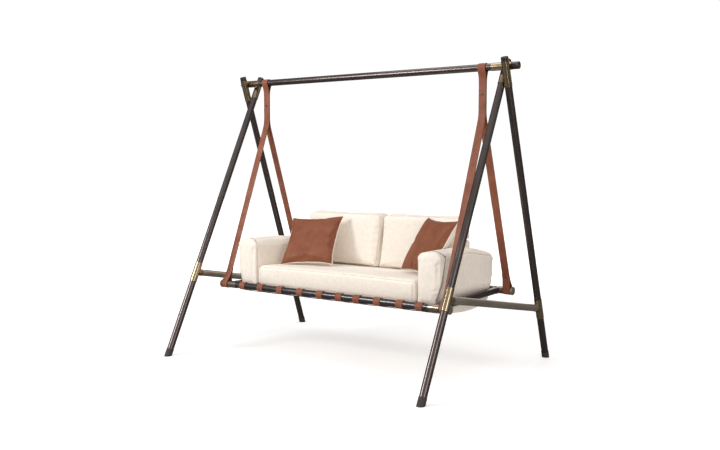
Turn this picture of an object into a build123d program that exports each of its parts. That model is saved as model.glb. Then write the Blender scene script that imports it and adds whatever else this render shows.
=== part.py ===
"""Hanging garden swing sofa on a tube stand.

X runs along the top bar, Y from front to rear and Z up. The origin is on the
ground in the middle of the four feet. Sizes are millimetres.
"""

import os
from math import asin, atan, cos, hypot, radians, sin, sqrt

from build123d import *

os.makedirs("parts", exist_ok=True)

SIDES = (("left", -1), ("right", 1))

# ---- tubes shared by the stand and the seat frame
tube_d = 50.0
tube_wall = 2.5
sleeve_wall = 2.0
socket_wall = 1.6       # a side socket is a little slimmer than its sleeve
seat_gap = 0.1          # radial gap between a tube and the fitting on it
web_between = 3.0       # metal between the bar and a leg inside a connector
cap_step = 6.0          # how far a plain tube cap stands out
cap_plug = 25.0         # how far a cap's plug goes into its tube
cap_edge = 2.0

# ---- stand
rear_leg_x = 1176.0
foot_reach = 820.0      # front and rear feet stand this far from the middle
bar_y = 150.0           # the bar stands behind the middle of the feet
bar_z = 2080.0
bar_overhang = 66.0     # bar past the rear legs' axes, without its caps
leg_pass_gap = 5.0      # sideways gap where a front leg passes a rear leg
front_leg_splay = 13.0  # a front foot is this much further in than its top
leg_rise = 46.0         # leg tubes end this far above the bar's axis
foot_lift = 6.0         # lowest point of a leg tube above the ground
foot_cup = 34.0         # how far a foot reaches up its leg
foot_wall = 2.0
hub_inboard = 71.0      # connector sleeve on the bar, inward of the front leg
hub_outboard = 20.0     # and outward of the rear leg
hub_rise = 27.0         # connector sleeve above the bar's axis, along a leg
front_hub_drop = 132.0  # connector sleeve below the bar's axis, along a leg
rear_hub_drop = 144.0
stretcher_front_z = 598.0
stretcher_rear_z = 383.0
leg_sleeve = 150.0
socket_reach = 16.0     # how far a side socket stands past its sleeve

# ---- seat frame
swing_side_gap = 72.0   # rail end caps to the front legs, at bar height
front_rail_reach = 480.0
rear_rail_reach = 425.0
front_rail_z = 498.0
rear_rail_rise = 12.0   # the rear rail hangs a little higher
rail_sleeve = 78.0
rail_cap_d = 62.0
rail_cap_t = 12.0

# ---- leather yokes
strap_w = 58.0
strap_t = 5.0
strap_side_gap = 2.0    # strap edge to the end cap
tee_side_gap = 8.0      # strap edge to the corner tee
bar_clear = 0.4         # running gap between a leather loop and the bar
rail_clear = 0.2
hanger_drop = 328.0     # bar's axis to the place where the straps part
loop_throat = 68.0      # bar's axis to the place where the two layers meet
eye_throat = 90.0       # rail's axis to the place where the two layers meet
tail_past = 40.0        # folded tail beyond that place
rivet_past = 18.0
snap_drop = 180.0
snap_d = 16.0
rivet_d = 12.0
shank_d = 5.0
head_t = 2.5
shank_gap = 0.1

# ---- leather webbing under the sofa, laid by hand between the corner tees
webbing_w = 55.0
webbing_t = 3.5
webbing_end_gap = 43.5  # first band's edge to the corner tee
webbing_shift = (0, 8, 22, 40, 48, 42, 20, 18, 22, 0)
webbing_sag = 102.0     # lowest point below the front rail's axis
webbing_low_back = 107.5  # and this far behind the middle of the rails

# ---- sofa
sofa_front_gap = 31.0   # gaps between the sofa and the seat frame's tubes
sofa_rear_gap = 47.0
sofa_side_gap = 8.0
base_above_rail = 2.0
cloth_gap = 0.5
seat_t = 142.0
arm_w = 150.0
arm_flare = 36.0
arm_rear_gap = 20.0     # the arms end this far ahead of the sofa's rear
flare_start = 10.0      # above the side tubes
flare_run = 90.0
arm_above_seat = 213.0
arm_rear_drop = 50.0
arm_round = 52.0
arm_rear_round = 60.0
back_low_t = 163.0
back_top_t = 134.0
back_h = 400.0
back_lean = 72.0
back_split_x = 12.0     # the seam between the back cushions is off centre
back_round = 45.0
panel_t = 50.0
panel_above_seat = 238.0
cushion_round = 22.0

# ---- throw pillows: the middle of the lower edge, measured in from the arm,
# forward of the back cushion's foot and up from the seat, then three angles
pillow_side = 440.0
pillow_t = 110.0
pillow_taper = 60.0
pillow_place = {
    "left": (288.0, 317.0, 26.0, 11.5, 37.5, 4.0),
    "right": (236.0, 246.0, 18.0, -30.0, 31.0, 0.0),
}

# ---- places worked out from the sizes above
tube_r = tube_d / 2
bore_r = tube_r + seat_gap
sleeve_r = tube_r + sleeve_wall
plug_r = tube_r - tube_wall - seat_gap
axis_gap = tube_d + web_between
cut_over = 1.0
along_x = Vector(1, 0, 0)

front_top_x = rear_leg_x - tube_d - leg_pass_gap
front_foot_x = front_top_x - front_leg_splay
bar_half = rear_leg_x + bar_overhang
front_rail_y = bar_y - front_rail_reach
rear_rail_y = bar_y + rear_rail_reach
rear_rail_z = front_rail_z + rear_rail_rise
rail_half = front_top_x - tube_r - swing_side_gap - rail_cap_t
strap_x = rail_half - strap_side_gap - strap_w / 2
side_tube_x = strap_x - strap_w / 2 - tee_side_gap - rail_sleeve / 2
split_z = bar_z - hanger_drop
snap_z = bar_z - snap_drop

sofa_front_y = front_rail_y + tube_r + sofa_front_gap
sofa_rear_y = rear_rail_y - tube_r - sofa_rear_gap
base_half = side_tube_x - tube_r - sofa_side_gap
arm_inner_x = base_half - arm_w
base_top_z = front_rail_z + base_above_rail
seat_top_z = base_top_z + seat_t
panel_front_y = sofa_rear_y - panel_t
back_front_y = panel_front_y - back_low_t


def write_piece(piece, label):
    """Label a finished piece and write its STEP file."""
    piece.part.label = label
    export_step(piece.part, f"parts/{label}.step")


def make_tube(start, end):
    """Make a round tube between two points."""
    with BuildPart() as tube:
        with BuildSketch(Plane(origin=start, z_dir=end - start)):
            Circle(tube_r)
            Circle(tube_r - tube_wall, mode=Mode.SUBTRACT)
        extrude(amount=(end - start).length)
    return tube


def make_caps(mouths, radius, step):
    """Make a group of tube caps, each from a mouth point and outward direction."""
    with BuildPart() as caps:
        for mouth, outward in mouths:
            across = outward.cross(Vector(0, 1, 1)).normalized()
            section = Plane(origin=mouth, x_dir=across, z_dir=across.cross(outward))
            with BuildSketch(section):
                with BuildLine():
                    Polyline(
                        (radius - cap_edge, step), (0, step), (0, -cap_plug),
                        (plug_r, -cap_plug), (plug_r, 0), (radius, 0),
                        (radius, step - cap_edge),
                    )
                    CenterArc((radius - cap_edge, step - cap_edge), cap_edge, 0, 90)
                make_face()
            revolve(axis=Axis(mouth, outward))
    return caps


def stand_off(main_axis, branch_axis):
    """Distance along a branch tube from the main axis to its clear end."""
    lean = abs(main_axis.dot(branch_axis))
    return (sleeve_r + tube_r * lean) / sqrt(1 - lean * lean)


def make_tee(centre, main_axis, length, branch_axis):
    """Make a sleeve on one tube with a socket for a second one."""
    seat = stand_off(main_axis, branch_axis)
    low = centre - main_axis * (length / 2)
    with BuildPart() as tee:
        with BuildSketch(Plane(origin=low, z_dir=main_axis)):
            Circle(sleeve_r)
        extrude(amount=length)
        with BuildSketch(Plane(origin=centre, z_dir=branch_axis)):
            Circle(tube_r + socket_wall)
        extrude(amount=seat + socket_reach)
        with BuildSketch(Plane(origin=low - main_axis * cut_over, z_dir=main_axis)):
            Circle(bore_r)
        extrude(amount=length + 2 * cut_over, mode=Mode.SUBTRACT)
        with BuildSketch(Plane(origin=centre + branch_axis * seat, z_dir=branch_axis)):
            Circle(bore_r)
        extrude(amount=socket_reach + cut_over, mode=Mode.SUBTRACT)
    return tee


def make_joined_tube(start, start_axis, end, end_axis):
    """Make a tube that ends in the sockets of two tees."""
    run = (end - start).normalized()
    return make_tube(
        start + run * stand_off(start_axis, run),
        end - run * stand_off(end_axis, run),
    )


# ---- legs: each axis passes the bar's axis at the same distance
def reach_past_bar(foot_y):
    """Distance in Y from the bar's axis to a leg's axis, at the bar's height."""
    spread = abs(foot_y - bar_y)
    lean = atan(spread / bar_z) + asin(axis_gap / hypot(spread, bar_z))
    return axis_gap / cos(lean)


def leg_points(end_name, side):
    """Give a leg axis's point on the ground and its point at bar height."""
    if end_name == "front":
        foot = Vector(side * front_foot_x, -foot_reach, 0)
        top = Vector(side * front_top_x, bar_y + reach_past_bar(foot.Y), bar_z)
    else:
        foot = Vector(side * rear_leg_x, foot_reach, 0)
        top = Vector(side * rear_leg_x, bar_y - reach_past_bar(foot.Y), bar_z)
    return foot, top


def make_foot(foot, axis, tube_start):
    """Make a foot cup that is cut flat on the ground."""
    with BuildPart() as cup:
        with BuildSketch(Plane(origin=foot - axis * tube_d, z_dir=axis)):
            Circle(tube_r + foot_wall)
        extrude(amount=tube_d + (tube_start - foot).length + foot_cup)
        with BuildSketch(Plane(origin=tube_start, z_dir=axis)):
            Circle(bore_r)
        extrude(amount=foot_cup + cut_over, mode=Mode.SUBTRACT)
        split(bisect_by=Plane.XY, keep=Keep.TOP)
    return cup


leg_mouths = []
for side_name, side in SIDES:
    for end_name in ("front", "rear"):
        foot, top = leg_points(end_name, side)
        axis = (top - foot).normalized()
        tilt = sqrt(1 - axis.Z ** 2)
        tube_start = foot + axis * ((foot_lift + tube_r * tilt) / axis.Z)
        tube_end = foot + axis * ((bar_z + leg_rise) / axis.Z)
        write_piece(make_tube(tube_start, tube_end), f"leg_{end_name}_{side_name}")
        write_piece(make_foot(foot, axis, tube_start), f"foot_{end_name}_{side_name}")
        leg_mouths.append((tube_end, axis))
write_piece(make_caps(leg_mouths, tube_r, cap_step), "leg_caps")

# ---- top bar and its caps
bar_ends = [Vector(side * bar_half, bar_y, bar_z) for _, side in SIDES]
write_piece(make_tube(*bar_ends), "top_bar")
bar_mouths = [(mouth, along_x * side) for (_, side), mouth in zip(SIDES, bar_ends)]
write_piece(make_caps(bar_mouths, tube_r, cap_step), "bar_caps")

# ---- cast connectors: one sleeve on the bar and one on each leg
for side_name, side in SIDES:
    bar_from = Vector(side * (front_top_x - hub_inboard), bar_y, bar_z)
    bar_to = Vector(side * (rear_leg_x + hub_outboard), bar_y, bar_z)
    runs = [(bar_from, bar_to)]
    for end_name, drop in (("front", front_hub_drop), ("rear", rear_hub_drop)):
        foot, top = leg_points(end_name, side)
        axis = (top - foot).normalized()
        runs.append((top - axis * drop, top + axis * hub_rise))
    with BuildPart() as connector:
        for low, high in runs:
            with BuildSketch(Plane(origin=low, z_dir=high - low)):
                Circle(sleeve_r)
            extrude(amount=(high - low).length)
        for low, high in runs:
            axis = (high - low).normalized()
            with BuildSketch(Plane(origin=low - axis * cut_over, z_dir=axis)):
                Circle(bore_r)
            extrude(amount=(high - low).length + 2 * cut_over, mode=Mode.SUBTRACT)
    write_piece(connector, f"connector_{side_name}")

# ---- side stretchers and the tees that carry them on the legs
for side_name, side in SIDES:
    ends = []
    for end_name, height in (("front", stretcher_front_z), ("rear", stretcher_rear_z)):
        foot, top = leg_points(end_name, side)
        axis = (top - foot).normalized()
        ends.append((foot + axis * (height / axis.Z), axis))
    (front, front_axis), (rear, rear_axis) = ends
    run = (rear - front).normalized()
    stretcher = make_joined_tube(front, front_axis, rear, rear_axis)
    write_piece(stretcher, f"stretcher_{side_name}")
    front_tee = make_tee(front, front_axis, leg_sleeve, run)
    write_piece(front_tee, f"stretcher_tee_front_{side_name}")
    rear_tee = make_tee(rear, rear_axis, leg_sleeve, -run)
    write_piece(rear_tee, f"stretcher_tee_rear_{side_name}")

# ---- seat frame: two rails, two side tubes, four tees and four end caps
RAILS = {
    "front": Vector(0, front_rail_y, front_rail_z),
    "rear": Vector(0, rear_rail_y, rear_rail_z),
}
for end_name, rail in RAILS.items():
    rail_tube = make_tube(rail - along_x * rail_half, rail + along_x * rail_half)
    write_piece(rail_tube, f"rail_{end_name}")
    for side_name, side in SIDES:
        mouth = rail + along_x * (side * rail_half)
        rail_cap = make_caps([(mouth, along_x * side)], rail_cap_d / 2, rail_cap_t)
        write_piece(rail_cap, f"rail_cap_{end_name}_{side_name}")

for side_name, side in SIDES:
    front, rear = [rail + along_x * (side * side_tube_x) for rail in RAILS.values()]
    run = (rear - front).normalized()
    side_tube = make_joined_tube(front, along_x, rear, along_x)
    write_piece(side_tube, f"side_tube_{side_name}")
    front_tee = make_tee(front, along_x, rail_sleeve, run)
    write_piece(front_tee, f"rail_tee_front_{side_name}")
    rear_tee = make_tee(rear, along_x, rail_sleeve, -run)
    write_piece(rear_tee, f"rail_tee_rear_{side_name}")

# ---- leather yokes: a hanger over the bar and two straps down to the rails
loop_bore = tube_r + bar_clear
eye_bore = tube_r + rail_clear
throat_tip = 0.5        # radius of the narrow end of a loop's opening


def strap_frame(rail, side):
    """Give the plane of a strap's edge and its length, from a rail's axis up."""
    upward = Vector(0, bar_y - rail.Y, split_z - rail.Z)
    edge_origin = Vector(side * strap_x - strap_w / 2, rail.Y, rail.Z)
    edge = Plane(origin=edge_origin, x_dir=upward.cross(along_x), z_dir=along_x)
    return edge, upward.length


for side_name, side in SIDES:
    edge = Plane(
        origin=(side * strap_x - strap_w / 2, bar_y, bar_z),
        x_dir=(0, 1, 0),
        z_dir=along_x,
    )
    band = bar_z - split_z - loop_throat
    with BuildPart() as hanger:
        with BuildSketch(edge):
            Circle(loop_bore + strap_t)
            with Locations((0, -loop_throat)):
                Rectangle(2 * strap_t, 1)
            make_hull()
            with Locations((0, -loop_throat - band / 2)):
                Rectangle(2 * strap_t, band)
        extrude(amount=strap_w)
        with BuildSketch(edge):
            Circle(loop_bore)
            with Locations((0, -loop_throat + 2 * strap_t)):
                Circle(throat_tip)
            make_hull()
        extrude(amount=strap_w, mode=Mode.SUBTRACT)
        snap_seat = (side * strap_x, bar_y - strap_t, snap_z)
        with BuildSketch(Plane(origin=snap_seat, z_dir=(0, 1, 0))):
            Circle(shank_d / 2 + shank_gap)
        extrude(amount=2 * strap_t, mode=Mode.SUBTRACT)
    write_piece(hanger, f"hanger_{side_name}")

    for end_name, rail in RAILS.items():
        outward = -1 if end_name == "front" else 1
        edge, length = strap_frame(rail, side)
        with BuildPart() as strap:
            with BuildSketch(edge):
                Circle(eye_bore + strap_t)
                with Locations((0, eye_throat)):
                    Rectangle(2 * strap_t, 1)
                make_hull()
                with Locations((0, eye_throat + tail_past / 2)):
                    Rectangle(2 * strap_t, tail_past)
                with Locations((outward * strap_t / 2, (eye_throat + length + strap_t) / 2)):
                    Rectangle(strap_t, length + strap_t - eye_throat)
            extrude(amount=strap_w)
            with BuildSketch(edge):
                Circle(eye_bore)
                with Locations((0, eye_throat - 2 * strap_t)):
                    Circle(throat_tip)
                make_hull()
            extrude(amount=strap_w, mode=Mode.SUBTRACT)
            rivet_seat = edge.from_local_coords((-strap_t, eye_throat + rivet_past, strap_w / 2))
            with BuildSketch(Plane(origin=rivet_seat, z_dir=edge.x_dir)):
                Circle(shank_d / 2 + shank_gap)
            extrude(amount=2 * strap_t, mode=Mode.SUBTRACT)
            split(bisect_by=Plane.XY.offset(split_z), keep=Keep.BOTTOM)
        write_piece(strap, f"strap_{end_name}_{side_name}")


# ---- fasteners: a shank through two layers with a flat head on each side
def make_fasteners(places, head_d):
    """Make a group of fasteners, each from its front face point and direction."""
    with BuildPart() as group:
        for face_point, inward in places:
            with BuildSketch(Plane(origin=face_point - inward * head_t, z_dir=inward)):
                Circle(head_d / 2)
            extrude(amount=head_t)
            with BuildSketch(Plane(origin=face_point, z_dir=inward)):
                Circle(shank_d / 2)
            extrude(amount=2 * strap_t)
            with BuildSketch(Plane(origin=face_point + inward * (2 * strap_t), z_dir=inward)):
                Circle(head_d / 2)
            extrude(amount=head_t)
    return group


snap_places = [
    (Vector(side * strap_x, bar_y - strap_t, snap_z), Vector(0, 1, 0)) for _, side in SIDES
]
write_piece(make_fasteners(snap_places, snap_d), "hanger_snaps")

rivet_places = []
for _, side in SIDES:
    for rail in RAILS.values():
        edge, _ = strap_frame(rail, side)
        seat = edge.from_local_coords((-strap_t, eye_throat + rivet_past, strap_w / 2))
        rivet_places.append((seat, edge.x_dir))
write_piece(make_fasteners(rivet_places, rivet_d), "strap_rivets")

# ---- webbing: ten bands hang from rail to rail and carry the sofa
ring_middle = tube_r + rail_clear + webbing_t / 2
band_low = (
    (front_rail_y + rear_rail_y) / 2 + webbing_low_back,
    front_rail_z - webbing_sag,
)


def hang(rail):
    """Radius of a band's curve to its low point, and where it leaves the rail."""
    run = band_low[0] - rail.Y
    rise = rail.Z - band_low[1]
    radius = (run**2 + rise**2 - ring_middle**2) / (2 * (rise - ring_middle))
    share = ring_middle / (radius - ring_middle)
    return radius, (rail.Y - run * share, rail.Z + (rise - radius) * share)


webbing_span = side_tube_x - rail_sleeve / 2 - webbing_end_gap - webbing_w / 2
webbing_pitch = 2 * webbing_span / (len(webbing_shift) - 1)
for number, shift in enumerate(webbing_shift, start=1):
    place = (number - 1) * webbing_pitch - webbing_span + shift
    edge = Plane(origin=(place - webbing_w / 2, 0, 0), x_dir=(0, 1, 0), z_dir=along_x)
    with BuildPart() as webbing:
        with BuildSketch(edge):
            with BuildLine():
                for rail in RAILS.values():
                    away = -1 if rail.Y < band_low[0] else 1
                    TangentArc(band_low, hang(rail)[1], tangent=(away, 0))
            trace(line_width=webbing_t)
            for rail in RAILS.values():
                with Locations((rail.Y, rail.Z)):
                    Circle(tube_r + rail_clear + webbing_t)
            for rail in RAILS.values():
                with Locations((rail.Y, rail.Z)):
                    Circle(tube_r + rail_clear, mode=Mode.SUBTRACT)
        extrude(amount=webbing_w)
    write_piece(webbing, f"webbing_{number:02d}")

# ---- sofa base: its underside follows the webbing
base_lift = webbing_t / 2 + cloth_gap
base_corners = []
for rail, end_y in zip(RAILS.values(), (sofa_front_y, sofa_rear_y)):
    radius, _ = hang(rail)
    height = radius - sqrt((radius - base_lift) ** 2 - (end_y - band_low[0]) ** 2)
    base_corners.append((end_y, band_low[1] + height))
base_low = (band_low[0], band_low[1] + base_lift)
with BuildPart() as base:
    with BuildSketch(Plane(origin=(-base_half, 0, 0), x_dir=(0, 1, 0), z_dir=along_x)):
        with BuildLine():
            TangentArc(base_low, base_corners[0], tangent=(-1, 0))
            TangentArc(base_low, base_corners[1], tangent=(1, 0))
            Polyline(
                base_corners[0], (sofa_front_y, base_top_z), (sofa_rear_y, base_top_z),
                base_corners[1],
            )
        make_face()
    extrude(amount=2 * base_half)
write_piece(base, "sofa_base")

# ---- arms: a flared, round-topped section cut to a side outline
floor_z = base_top_z + cloth_gap
arm_top_z = seat_top_z + arm_above_seat
arm_rear_top_z = arm_top_z - arm_rear_drop
arm_rear_y = sofa_rear_y - arm_rear_gap
flare_low_z = max(front_rail_z, rear_rail_z) + tube_r + flare_start
for side_name, side in SIDES:
    inner = side * arm_inner_x
    outer = side * base_half
    flared = side * (base_half + arm_flare)
    with BuildPart() as arm:
        with BuildSketch(Plane.XZ.offset(-sofa_front_y)):
            with BuildLine():
                Polyline(
                    (inner, floor_z), (inner, arm_top_z), (flared, arm_top_z),
                    (flared, flare_low_z + flare_run), (outer, flare_low_z), (outer, floor_z),
                    close=True,
                )
            section = make_face()
            fillet(section.vertices().group_by(Axis.Y)[-1], arm_round)
        extrude(amount=sofa_front_y - arm_rear_y)
        with BuildSketch(Plane(origin=(min(inner, flared), 0, 0), x_dir=(0, 1, 0), z_dir=along_x)):
            with BuildLine():
                Polyline(
                    (sofa_front_y, floor_z), (sofa_front_y, arm_top_z), (bar_y, arm_top_z),
                    (arm_rear_y, arm_rear_top_z), (arm_rear_y, floor_z),
                    close=True,
                )
            outline = make_face()
            rear_top = outline.vertices().filter_by_position(
                Axis.Y, arm_rear_top_z, arm_rear_top_z
            )
            fillet(rear_top, arm_rear_round)
        extrude(amount=abs(flared - inner), mode=Mode.INTERSECT)
    write_piece(arm, f"arm_{side_name}")

# ---- back panel, seat cushion and the two back cushions, between the arms
inside_half = arm_inner_x - cloth_gap
panel_top_z = seat_top_z + panel_above_seat
with BuildPart() as panel:
    with BuildSketch(Plane.XY.offset(floor_z)):
        with Locations((0, sofa_rear_y - panel_t / 2)):
            Rectangle(2 * inside_half, panel_t)
    extrude(amount=panel_top_z - floor_z)
    fillet(panel.faces().sort_by(Axis.Z)[-1].edges(), panel_t / 4)
write_piece(panel, "back_panel")

seat_rear_y = panel_front_y - cloth_gap
with BuildPart() as seat:
    with BuildSketch(Plane.XY.offset(floor_z)):
        with Locations((0, (sofa_front_y + seat_rear_y) / 2)):
            Rectangle(2 * inside_half, seat_rear_y - sofa_front_y)
    extrude(amount=seat_top_z - floor_z)
    fillet(seat.faces().sort_by(Axis.Z)[-1].edges(), cushion_round)
write_piece(seat, "seat_cushion")

back_low_z = seat_top_z + cloth_gap
back_top_z = seat_top_z + back_h
ledge_z = panel_top_z + cloth_gap
back_spans = {
    "left": (-inside_half, back_split_x - cloth_gap),
    "right": (back_split_x + cloth_gap, inside_half),
}
for side_name, (start_x, end_x) in back_spans.items():
    with BuildPart() as back:
        with BuildSketch(Plane(origin=(start_x, 0, 0), x_dir=(0, 1, 0), z_dir=along_x)):
            front_top_y = back_front_y + back_lean
            with BuildLine():
                Polyline(
                    (back_front_y, back_low_z), (front_top_y, back_top_z),
                    (front_top_y + back_top_t, back_top_z), (front_top_y + back_top_t, ledge_z),
                    (seat_rear_y, ledge_z), (seat_rear_y, back_low_z),
                    close=True,
                )
            side_outline = make_face()
            fillet(side_outline.vertices().group_by(Axis.Y)[-1], back_round)
        extrude(amount=end_x - start_x)
    write_piece(back, f"back_cushion_{side_name}")

# ---- throw pillows: thin at the seam and thick in the middle
for side_name, side in SIDES:
    from_arm, forward, above, turn, lean, roll = pillow_place[side_name]
    low_x = side * (arm_inner_x - from_arm)
    low_y = back_front_y - forward
    low_z = seat_top_z + above
    across = Vector(cos(radians(turn)), sin(radians(turn)), 0)
    rearward = Vector(-sin(radians(turn)), cos(radians(turn)), 0)
    upward = Vector(0, 0, 1) * cos(radians(lean)) + rearward * sin(radians(lean))
    width_dir = across * cos(radians(roll)) + upward * sin(radians(roll))
    facing = width_dir.cross(upward)
    height_dir = facing.cross(width_dir)
    middle = Vector(low_x, low_y, low_z) + height_dir * (pillow_side / 2)
    with BuildPart() as pillow:
        with BuildSketch(Plane(origin=middle, x_dir=width_dir, z_dir=facing)):
            Rectangle(pillow_side, pillow_side)
        extrude(amount=pillow_t / 2, both=True, taper=pillow_taper)
    write_piece(pillow, f"pillow_{side_name}")
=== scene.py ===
from math import acos, atan2, ceil, cos, exp, hypot, pi, radians, sin

import bmesh
import bpy
from mathutils import Matrix, Vector, noise
from mathutils.bvhtree import BVHTree
from mathutils.kdtree import KDTree


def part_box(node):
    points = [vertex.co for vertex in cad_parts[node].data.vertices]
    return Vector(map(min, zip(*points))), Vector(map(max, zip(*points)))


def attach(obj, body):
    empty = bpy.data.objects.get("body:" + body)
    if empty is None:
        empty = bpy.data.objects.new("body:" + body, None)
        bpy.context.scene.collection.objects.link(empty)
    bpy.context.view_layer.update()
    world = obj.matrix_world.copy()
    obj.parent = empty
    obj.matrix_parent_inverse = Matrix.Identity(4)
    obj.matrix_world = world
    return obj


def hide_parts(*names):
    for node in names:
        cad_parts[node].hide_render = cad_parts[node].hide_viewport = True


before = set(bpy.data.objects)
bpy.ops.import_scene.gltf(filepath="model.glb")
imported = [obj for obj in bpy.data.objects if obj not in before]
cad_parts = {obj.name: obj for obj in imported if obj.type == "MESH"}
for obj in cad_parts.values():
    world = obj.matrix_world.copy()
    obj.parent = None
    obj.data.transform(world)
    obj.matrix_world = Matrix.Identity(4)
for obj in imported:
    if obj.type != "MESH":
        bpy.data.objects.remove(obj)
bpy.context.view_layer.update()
scene = bpy.context.scene
sides = (("left", -1), ("right", 1))


def boxMiddle(node):
    low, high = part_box(node)
    return (low + high) / 2


def boxSize(node):
    low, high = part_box(node)
    return high - low


def newPiece(name, bm, *materials):
    mesh = bpy.data.meshes.new(name)
    bm.to_mesh(mesh)
    bm.free()
    for material in materials:
        mesh.materials.append(material)
    piece = bpy.data.objects.new(name, mesh)
    scene.collection.objects.link(piece)
    return piece


# Camera: the lens and place of the studio shot
camera = {
    "place": (3.7259, -5.0305, 1.4433),
    "turn": 0.62872,  # radians, to the left of +Y
    "tilt": -0.07455,
    "roll": 0.00137,
    "lens": 42.5,
    "sensor": 36,
    "shift": (-0.0007, 0.0007),
}
cameraData = bpy.data.cameras.new("camera")
cameraData.lens = camera["lens"]
cameraData.sensor_width = camera["sensor"]
cameraData.shift_x, cameraData.shift_y = camera["shift"]
cameraObject = bpy.data.objects.new("camera", cameraData)
cameraObject.location = camera["place"]
cameraObject.rotation_euler = (pi / 2 + camera["tilt"], -camera["roll"], camera["turn"])
scene.collection.objects.link(cameraObject)
scene.camera = cameraObject
scene.view_settings.view_transform = "Standard"
print("camera ready")


# Shader nodes: each helper adds one node to a tree and returns its output
def feed(tree, socket, value):
    if isinstance(value, bpy.types.NodeSocket):
        tree.links.new(value, socket)
    else:
        socket.default_value = value


def addMath(tree, operation, *values):
    node = tree.nodes.new("ShaderNodeMath")
    node.operation = operation
    for socket, value in zip(node.inputs, values):
        feed(tree, socket, value)
    return node.outputs[0]


def addVectorMath(tree, operation, first, second, output="Vector"):
    node = tree.nodes.new("ShaderNodeVectorMath")
    node.operation = operation
    tree.links.new(first, node.inputs[0])
    if second is not None:
        feed(tree, node.inputs[1], second)
    return node.outputs[output]


def addNoise(tree, vector, scale, detail=3.0, roughness=0.5):
    node = tree.nodes.new("ShaderNodeTexNoise")
    given = {"Vector": vector, "Scale": scale, "Detail": detail, "Roughness": roughness}
    for socketName, value in given.items():
        feed(tree, node.inputs[socketName], value)
    return node.outputs["Fac"]


def spread(tree, value, low, high, toLow=0.0, toHigh=1.0, kind="LINEAR"):
    node = tree.nodes.new("ShaderNodeMapRange")
    node.interpolation_type = kind
    given = {"From Min": low, "From Max": high, "To Min": toLow, "To Max": toHigh, "Value": value}
    for socketName, number in given.items():
        feed(tree, node.inputs[socketName], number)
    return node.outputs["Result"]


def mixColour(tree, share, dark, light):
    node = tree.nodes.new("ShaderNodeMix")
    node.data_type = "RGBA"
    tree.links.new(share, node.inputs["Factor"])
    for index, shade in ((6, dark), (7, light)):
        feed(tree, node.inputs[index], (*shade, 1) if isinstance(shade, tuple) else shade)
    return node.outputs[2]


def addBump(tree, shader, height, strength, distance):
    bump = tree.nodes.new("ShaderNodeBump")
    bump.inputs["Strength"].default_value = strength
    bump.inputs["Distance"].default_value = distance
    tree.links.new(height, bump.inputs["Height"])
    tree.links.new(bump.outputs["Normal"], shader.inputs["Normal"])


def newFinish(name):
    material = bpy.data.materials.new(name)
    material.use_nodes = True
    tree = material.node_tree
    coordinates = tree.nodes.new("ShaderNodeTexCoord").outputs
    return material, tree, tree.nodes["Principled BSDF"], coordinates


# Studio: pale floor, a bright backdrop and softboxes
studio = {
    "floorSize": 40.0,
    "floorShade": (0.80, 0.80, 0.80),
    "floorMirrored": (0.20, 0.20, 0.20),  # shade of the floor in the tubes
    "floorGlow": (0.44, 1.0),  # under the swing and far from it
    "floorFade": (2.2, 6.0),
    "floorRoughness": 0.6,
    "floorShine": 0.2,
    "backdropGlow": 1.05,
    "roomFront": 0.90,  # glow of the room behind the camera
    "roomRear": 0.24,
    "roomTop": 0.10,
    "frontHeading": (0.35, -0.93, 0.0),
    "frontFade": (-0.5, 0.9),
    "topFade": (0.1, 0.9),
}
softboxes = {
    # place, aimed at, width, height, watts, colour
    "keyLeft": ((-3.2, -5.0, 3.4), (0.0, -0.2, 0.7), 1.8, 1.8, 195, (1.0, 0.99, 0.97)),
    "fillRight": ((5.2, -2.2, 2.2), (0.4, 0.0, 0.9), 1.2, 2.6, 34, (1.0, 0.87, 0.76)),
    "stripRight": ((4.9, -3.0, 1.6), (0.6, 0.0, 1.2), 0.3, 3.4, 34, (1.0, 0.95, 0.90)),
    "topSheet": ((0.0, 0.0, 5.2), (0.0, 0.0, 0.0), 4.0, 3.0, 80, (1.0, 0.98, 0.95)),
    "rearFill": ((-1.0, 5.5, 3.0), (0.0, 0.3, 0.8), 3.0, 2.4, 40, (1.0, 0.94, 0.88)),
}


def makeSoftbox(name, place, target, width, height, watts, colour):
    light = bpy.data.lights.new(name, "AREA")
    light.shape = "RECTANGLE"
    light.size = width
    light.size_y = height
    light.energy = watts
    light.color = colour
    holder = bpy.data.objects.new(name, light)
    holder.location = place
    aim = Vector(target) - Vector(place)
    holder.rotation_euler = aim.to_track_quat("-Z", "Y").to_euler()
    holder.visible_camera = False
    scene.collection.objects.link(holder)


def makeRoom():
    world = bpy.data.worlds.new("room")
    world.use_nodes = True
    scene.world = world
    tree = world.node_tree
    tree.nodes.clear()
    heading = tree.nodes.new("ShaderNodeTexCoord").outputs["Generated"]
    toFront = addVectorMath(tree, "DOT_PRODUCT", heading, studio["frontHeading"], "Value")
    frontGlow = spread(tree, toFront, *studio["frontFade"], studio["roomRear"], studio["roomFront"])
    split = tree.nodes.new("ShaderNodeSeparateXYZ")
    tree.links.new(heading, split.inputs[0])
    topGlow = spread(tree, split.outputs["Z"], *studio["topFade"], 0.0, studio["roomTop"])
    room = tree.nodes.new("ShaderNodeBackground")
    tree.links.new(addMath(tree, "ADD", frontGlow, topGlow), room.inputs["Strength"])
    backdrop = tree.nodes.new("ShaderNodeBackground")
    backdrop.inputs["Color"].default_value = (1, 1, 1, 1)
    backdrop.inputs["Strength"].default_value = studio["backdropGlow"]
    seen = tree.nodes.new("ShaderNodeLightPath")
    pick = tree.nodes.new("ShaderNodeMixShader")
    output = tree.nodes.new("ShaderNodeOutputWorld")
    tree.links.new(seen.outputs["Is Camera Ray"], pick.inputs["Fac"])
    tree.links.new(room.outputs[0], pick.inputs[1])
    tree.links.new(backdrop.outputs[0], pick.inputs[2])
    tree.links.new(pick.outputs[0], output.inputs["Surface"])


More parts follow.
